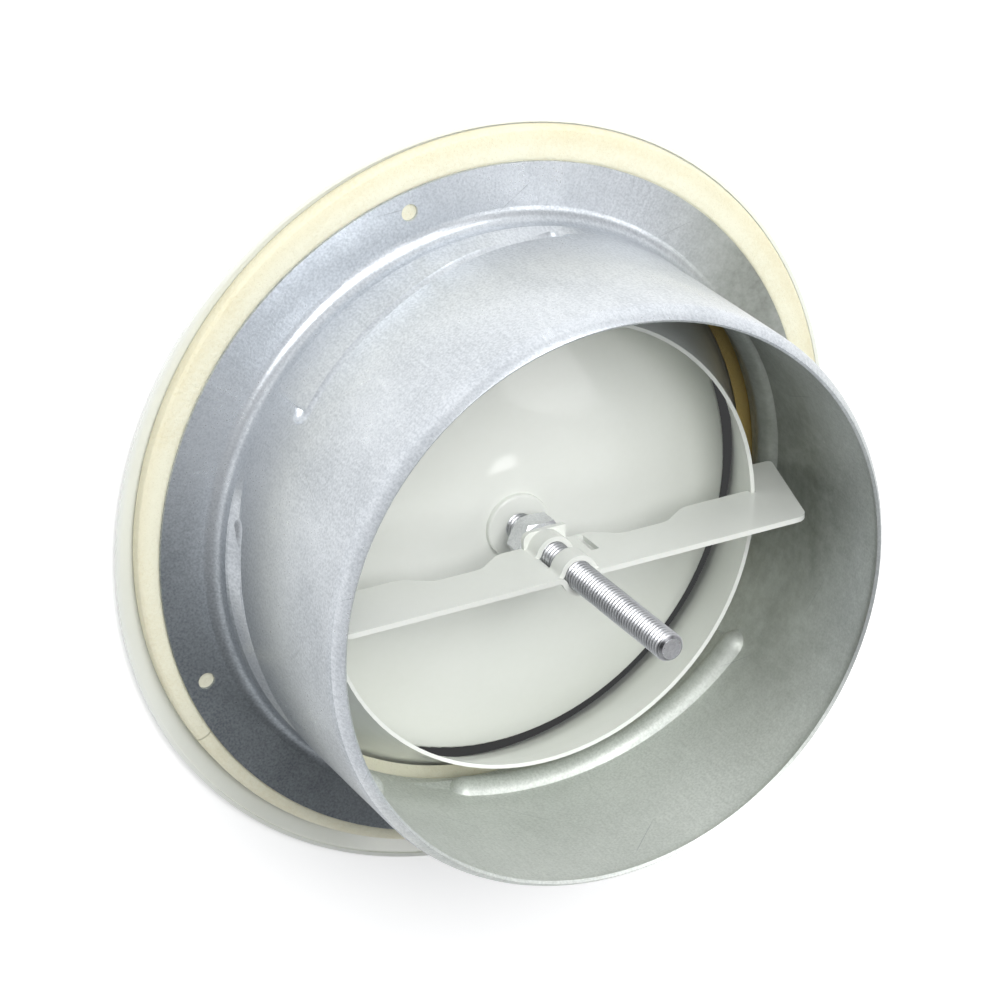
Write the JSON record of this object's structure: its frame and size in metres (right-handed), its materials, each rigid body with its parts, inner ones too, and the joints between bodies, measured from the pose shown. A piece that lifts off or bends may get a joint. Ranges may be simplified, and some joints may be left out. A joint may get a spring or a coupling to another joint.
{
  "type": "adjustable vent cover",
  "caption": "Round disc air valve for a duct end: a domed disc on a threaded spindle opens or closes a ring-shaped gap, held by a bayonet mounting collar.",
  "frame": {"origin": "on the valve's axis, at the lowest point of the face ring, which is the room side", "axes": "+Z along the axis from the room side towards the duct; +X midway between two of the collar's screw holes"},
  "size_m": [0.1648, 0.1648, 0.0818],
  "materials": {
    "galvanised_sheet": "mottled galvanised, satin",
    "white_paint": "smooth powder coat, semi-gloss",
    "zinc_plate": "bright zinc plate",
    "foam": "matt cream foam"
  },
  "bodies": {
    "collar": {"mounting_collar": "galvanised_sheet"},
    "insert": {"valve_body": "white_paint", "crossbar": "white_paint", "foam_gasket": "foam"},
    "disc": {"valve_disc": "white_paint", "disc_hub": "white_paint", "spindle": "zinc_plate"},
    "nut": {"lock_nut": "zinc_plate"}
  },
  "joints": [
    {"name": "insert_turn", "type": "hinge", "parent": "collar", "child": "insert", "pos_m": [0, 0, 0.02], "axis": [0, 0, 1], "range_deg": [-25, 0]},
    {"name": "disc_travel", "type": "slide", "parent": "insert", "child": "disc", "axis": [0, 0, 1], "range_m": [-0.025, 0.004]},
    {"name": "lock_nut_turn", "type": "hinge", "parent": "insert", "child": "nut", "pos_m": [0, 0, 0.0262], "axis": [0, 0, 1], "range_deg": [-180, 0]}
  ]
}
